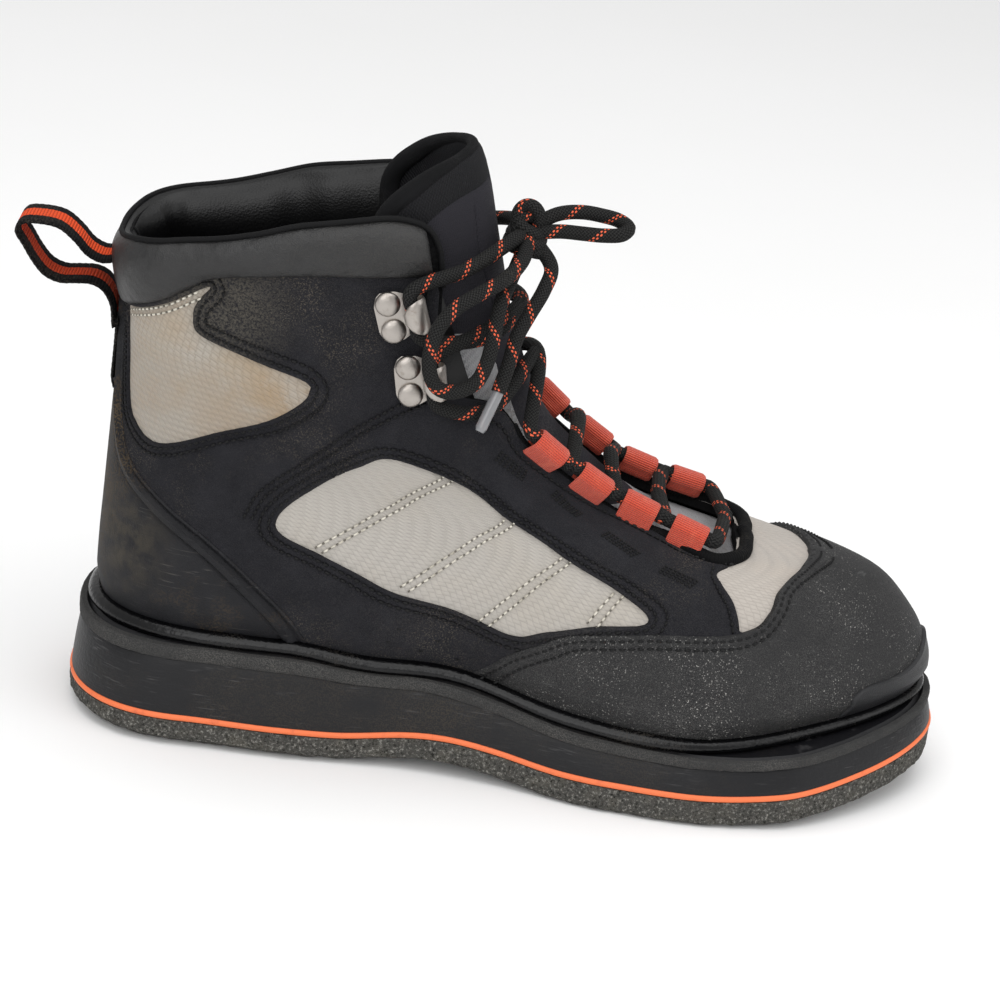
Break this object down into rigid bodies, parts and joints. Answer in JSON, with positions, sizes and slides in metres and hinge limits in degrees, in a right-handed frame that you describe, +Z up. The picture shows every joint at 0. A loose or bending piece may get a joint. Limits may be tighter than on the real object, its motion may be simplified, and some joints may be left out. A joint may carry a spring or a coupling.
{
  "type": "wading boot",
  "caption": "Right wading boot standing empty on a flat felt sole, with a hollow padded upper, laces through webbing loops and open hooks, and a heel pull loop.",
  "frame": {"origin": "middle of the heel's flat spot, on the floor under the sole", "axes": "+X points to the toe, +Y to the inner (medial) side of the foot, +Z up from the floor"},
  "size_m": [0.3483, 0.1236, 0.2232],
  "materials": {
    "felt": "dense needled felt, matt",
    "orange_rubber": "matt",
    "sole_rubber": "matt moulded",
    "gloss_rubber": "glossy",
    "ripstop": "tight woven, matt",
    "synthetic_leather": "fine grained synthetic, matt",
    "lining": "smooth padded lining",
    "insole_foam": "foam with a cloth face",
    "orange_webbing": "ribbed webbing",
    "strap_webbing": "woven webbing",
    "nickel": "brushed nickel plate",
    "cord": "braided cord",
    "clear_tip": "clear, glossy"
  },
  "bodies": {
    "root": {"outsole_felt": "felt", "sole_stripe": "orange_rubber", "midsole": "sole_rubber", "upper": "ripstop", "insole": "insole_foam", "welt_bead": "gloss_rubber", "tongue": "lining", "heel_counter": "synthetic_leather", "toe_cap": "synthetic_leather", "toe_bumper": "gloss_rubber", "collar_cuff": "synthetic_leather", "quarter_lateral": "synthetic_leather", "quarter_medial": "synthetic_leather", "lace_crossings": "cord", "pull_loop": "strap_webbing", "lace_knot": "cord", "lace_bow_left": "cord", "lace_bow_right": "cord", "lace_end": "cord", "aglet": "clear_tip", "lace_loop_lateral_1": "orange_webbing", "lace_loop_lateral_2": "orange_webbing", "lace_loop_lateral_3": "orange_webbing", "lace_loop_lateral_4": "orange_webbing", "lace_loop_medial_1": "orange_webbing", "lace_loop_medial_2": "orange_webbing", "lace_loop_medial_3": "orange_webbing", "lace_loop_medial_4": "orange_webbing", "speed_hook_lateral_1": "nickel", "speed_hook_lateral_2": "nickel", "speed_hook_medial_1": "nickel", "speed_hook_medial_2": "nickel", "rivet_lateral_1a": "nickel", "rivet_lateral_1b": "nickel", "rivet_lateral_2a": "nickel", "rivet_lateral_2b": "nickel", "rivet_medial_1a": "nickel", "rivet_medial_1b": "nickel", "rivet_medial_2a": "nickel", "rivet_medial_2b": "nickel"}
  },
  "joints": []
}
